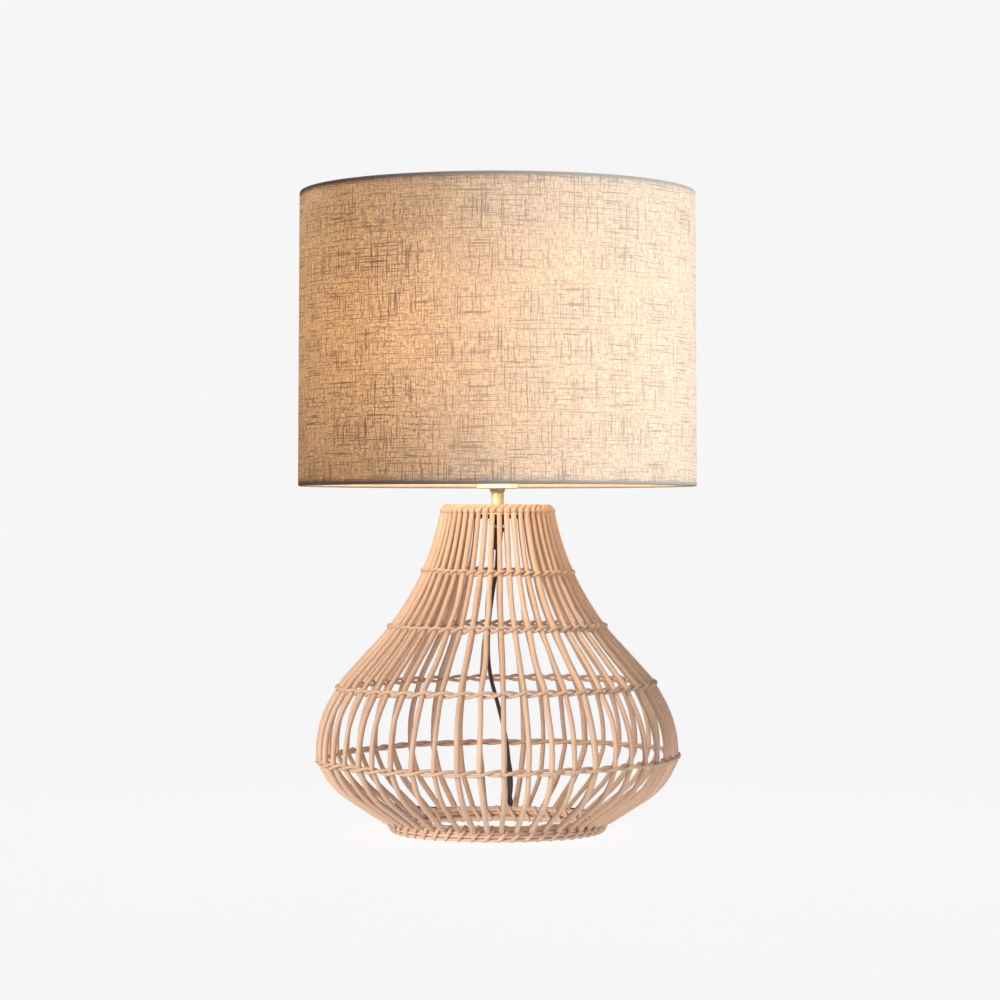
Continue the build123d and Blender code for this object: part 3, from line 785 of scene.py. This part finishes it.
def cloth_outline():
    """(depth behind the face, height) from inside the bottom hem to inside the top one."""
    outline = [(d * MM, SHADE_BOTTOM + z * MM) for d, z in HEM]
    face_height = SHADE_TOP - SHADE_BOTTOM - 2 * HEM_REACH
    outline += [(0, SHADE_BOTTOM + HEM_REACH + face_height * i / ROWS) for i in range(1, ROWS)]
    outline += [(d * MM, SHADE_TOP - z * MM) for d, z in reversed(HEM)]
    return outline


def shade_radius(height):
    """Radius of the slightly tapered drum at a height."""
    share = (height - SHADE_BOTTOM) / (SHADE_TOP - SHADE_BOTTOM)
    return BOTTOM_RADIUS + share * (TOP_RADIUS - BOTTOM_RADIUS)


def wrapped_sheet(outline, overlap, lap):
    """A sheet wrapped round the drum from the seam, its last stretch lapped over its first.

    Gives (verts, faces, grain, length of the outline).
    """
    total = tau + overlap / BOTTOM_RADIUS
    lapped_from = total - 1.6 * overlap / BOTTOM_RADIUS
    verts, faces, grain = [], [], []
    for i in range(COLUMNS + 1):
        turned = total * i / COLUMNS
        raised = lap * smoothstep(lapped_from, lapped_from + 0.02, turned)
        angle = SEAM_ANGLE + turned
        travelled = 0.0
        for j, (depth, height) in enumerate(outline):
            if j:
                travelled += hypot(depth - outline[j - 1][0], height - outline[j - 1][1])
            ripple = 0.25 * MM * noise.noise(Vector((cos(angle) * 3, sin(angle) * 3, height * 14)))
            radius = shade_radius(height) - depth - FACE_INSET + raised + ripple * (depth == 0)
            verts.append(on_cage(radius, height, angle))
            from_end = min(height - SHADE_BOTTOM, SHADE_TOP - height)
            # 1 marks the ends painted darker as painted shade; -1 marks the turned-in cloth painted
            # paler as painted light.
            edge = -1 if depth > TURNED_IN else 1 if from_end < PAINTED_SHADE_EDGE else 0
            grain.append((turned * BOTTOM_RADIUS, travelled, edge))
    rows = len(outline)
    for i in range(COLUMNS):
        for j in range(rows - 1):
            here = i * rows + j
            faces.append((here, here + rows, here + rows + 1, here + 1))
    return verts, faces, grain, travelled


outline = cloth_outline()
verts, faces, grain, cloth_height = wrapped_sheet(outline, SEAM_OVERLAP, 0.3 * MM)
cloth = mesh_piece("linen_cover", verts, faces, LINEN, grain)
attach(cloth, "shade")
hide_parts("shade_fabric", "shade_hem_top", "shade_hem_bottom")

film_height = SHADE_TOP - SHADE_BOTTOM - 2 * FILM_MARGIN
film_outline = [(FILM_DEPTH, SHADE_BOTTOM + FILM_MARGIN + film_height * i / FILM_ROWS)
                for i in range(FILM_ROWS + 1)]
verts, faces, grain, _ = wrapped_sheet(film_outline, 0, 0)
lining = mesh_piece("shade_lining", verts, faces, FILM, grain)
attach(lining, "shade")
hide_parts("shade_liner")


# ================================================================ studio
# Each light reaches one part of the lamp, as flags and cards would have it in a studio.
def gather(name, pieces):
    """A group of pieces that a light can be kept to."""
    group = bpy.data.collections.new(name)
    for piece in pieces:
        group.objects.link(piece)
    return group


def light(name, kind, energy, colour, receivers, blockers=None, **settings):
    """A light that reaches only its receivers, shadowed only by its blockers where it has any."""
    data = bpy.data.lights.new(name, kind)
    data.energy = energy
    data.color = colour
    for key, value in settings.items():
        setattr(data, key, value)
    lamp = bpy.data.objects.new(name, data)
    bpy.context.scene.collection.objects.link(lamp)
    lamp.light_linking.receiver_collection = receivers
    lamp.light_linking.blocker_collection = blockers
    lamp.visible_camera = False
    return lamp


def aim(lamp, azimuth, elevation, distance, target):
    """Puts a light round the target; azimuth 0 is the camera's side, 90 its right hand."""
    azimuth, elevation = radians(azimuth), radians(elevation)
    away = Vector((sin(azimuth) * cos(elevation), -cos(azimuth) * cos(elevation), sin(elevation)))
    lamp.location = Vector(target) + away * distance
    lamp.rotation_euler = away.to_track_quat("Z", "Y").to_euler()


STEM_PARTS = ["stem_sleeve", "stem_collar", "holder_flange"]
WARM_PARTS = [*STEM_PARTS, "holder_cap", "holder_shell", "holder_insert", "holder_thread",
              "holder_contact", "switch_block", "push_bar", "clamp_ring", "stem_pipe",
              "bulb_cap", "bulb_insulator", "bulb_contact", "bulb_glass", "bulb_filaments"]
SHADE_PARTS = [name for name in nodes if name.startswith("shade_")]
lit_inside = gather("lit_inside",
                    [cloth, lining] + [nodes[name] for name in WARM_PARTS + SHADE_PARTS])
shade_group = gather("shade_group", [cloth, lining] + [nodes[name] for name in SHADE_PARTS])
base_group = gather("base_group", [o for o in bpy.context.scene.objects if o.type == "MESH"
                                   and o.name not in shade_group.objects])
stem_group = gather("stem_group", [nodes[name] for name in STEM_PARTS])

# The bulb's light comes from three places, so that the cloth is lit evenly to its ends.
BULB_RADIUS = 0.030
BULB_LIGHTS = [("bulb_up", 0.82, (0.012, -0.03, 0.524)), ("bulb_down", 0.74, (0.012, -0.03, 0.360)),
               ("bulb_front", 0.76, (-0.036, -0.064, 0.446))]
bulb_centre = (0, 0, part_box("bulb_glass")[1].z - BULB_RADIUS)
nodes["bulb_glass"].visible_shadow = False
nodes["bulb_glass"].visible_diffuse = False
for name, energy, place in BULB_LIGHTS:
    glow = light(name, "POINT", energy, (1.0, 0.75, 0.49), lit_inside, shadow_soft_size=0.03)
    glow.location = place
spill = light("bulb_spill", "POINT", 0.10, (1.0, 0.72, 0.42), base_group, shadow_soft_size=0.028)
spill.location = bulb_centre

LIGHT_DISTANCE = 2
middle_of_shade = (0, 0, (SHADE_BOTTOM + SHADE_TOP) / 2)
middle_of_base = (0, 0, 0.14)
shade_key = light("shade_key", "SUN", 6.5, (0.86, 0.97, 1.0), shade_group, angle=radians(50))
aim(shade_key, 62, 8, LIGHT_DISTANCE, middle_of_shade)
base_key = light("base_key", "SUN", 2.9, (1.0, 0.93, 0.82), base_group, base_group,
                 angle=radians(22))
aim(base_key, -45, 18, LIGHT_DISTANCE, middle_of_base)
base_fill = light("base_fill", "SUN", 0.9, (0.90, 0.94, 1.0), base_group, base_group,
                  angle=radians(90))
aim(base_fill, 50, 15, LIGHT_DISTANCE, middle_of_base)
# The pale table throws light back up at the cage.
bounce = light("base_bounce", "AREA", 3.4, (1.0, 0.98, 0.96), base_group, shape="DISK", size=1.4)
bounce.location = (0, 0, 0.0008)
bounce.rotation_euler = (pi, 0, 0)
stem_glow = light("stem_glow", "SUN", 2.8, (1.0, 0.84, 0.58), stem_group, stem_group,
                  angle=radians(60))
aim(stem_glow, -20, 25, LIGHT_DISTANCE, middle_of_base)


def glowing_paint(name, colour, share):
    """Pale paint that holds an even tone: part of it is lit, and part of it glows."""
    material, tree, output = new_material(name)
    cloud = noise_of(tree, object_place(tree), 3, 2, 0.5)
    low, high = (tuple(c * k for c in colour) + (1,) for k in (0.999, 1.004))
    tone = mixed(tree, ranged(tree, cloud, 0.2, 0.8), low, high)
    shader = principled(tree, output, Roughness=0.9, Specular_IOR_Level=0.0)
    shader.inputs["Base Color"].default_value = (*(c * 0.25 for c in colour), 1)
    tree.links.new(tone, shader.inputs["Emission Color"])
    shader.inputs["Emission Strength"].default_value = share
    return material


BACKDROP = (0.9216, 0.9216, 0.9301)
AMBIENT = 0.14
FLOOR_GLOW = 0.963
FLOOR_HALF, DOME_RADIUS = 28, 30
floor = mesh_piece("floor", [(x * FLOOR_HALF, y * FLOOR_HALF, 0)
                             for x, y in ((-1, -1), (1, -1), (1, 1), (-1, 1))],
                   [(0, 1, 2, 3)], glowing_paint("floor_paint", BACKDROP, FLOOR_GLOW))
floor.visible_diffuse = False
floor.visible_glossy = False
bpy.ops.mesh.primitive_uv_sphere_add(segments=64, ring_count=32, radius=DOME_RADIUS)
dome = bpy.context.object
dome.name = "backdrop"
dome_paint = glowing_paint("backdrop_paint", BACKDROP, 1.0)
dome_paint.node_tree.nodes["Principled BSDF"].inputs["Base Color"].default_value = (0, 0, 0, 1)
dome.data.materials.append(dome_paint)
for ray in ("diffuse", "glossy", "transmission", "volume_scatter", "shadow"):
    setattr(dome, f"visible_{ray}", False)

world = bpy.data.worlds.new("studio")
bpy.context.scene.world = world
world.use_nodes = True
surroundings = world.node_tree.nodes["Background"]
surroundings.inputs["Color"].default_value = (AMBIENT, AMBIENT, AMBIENT * 1.02, 1)
bpy.context.scene.view_settings.view_transform = "Standard"
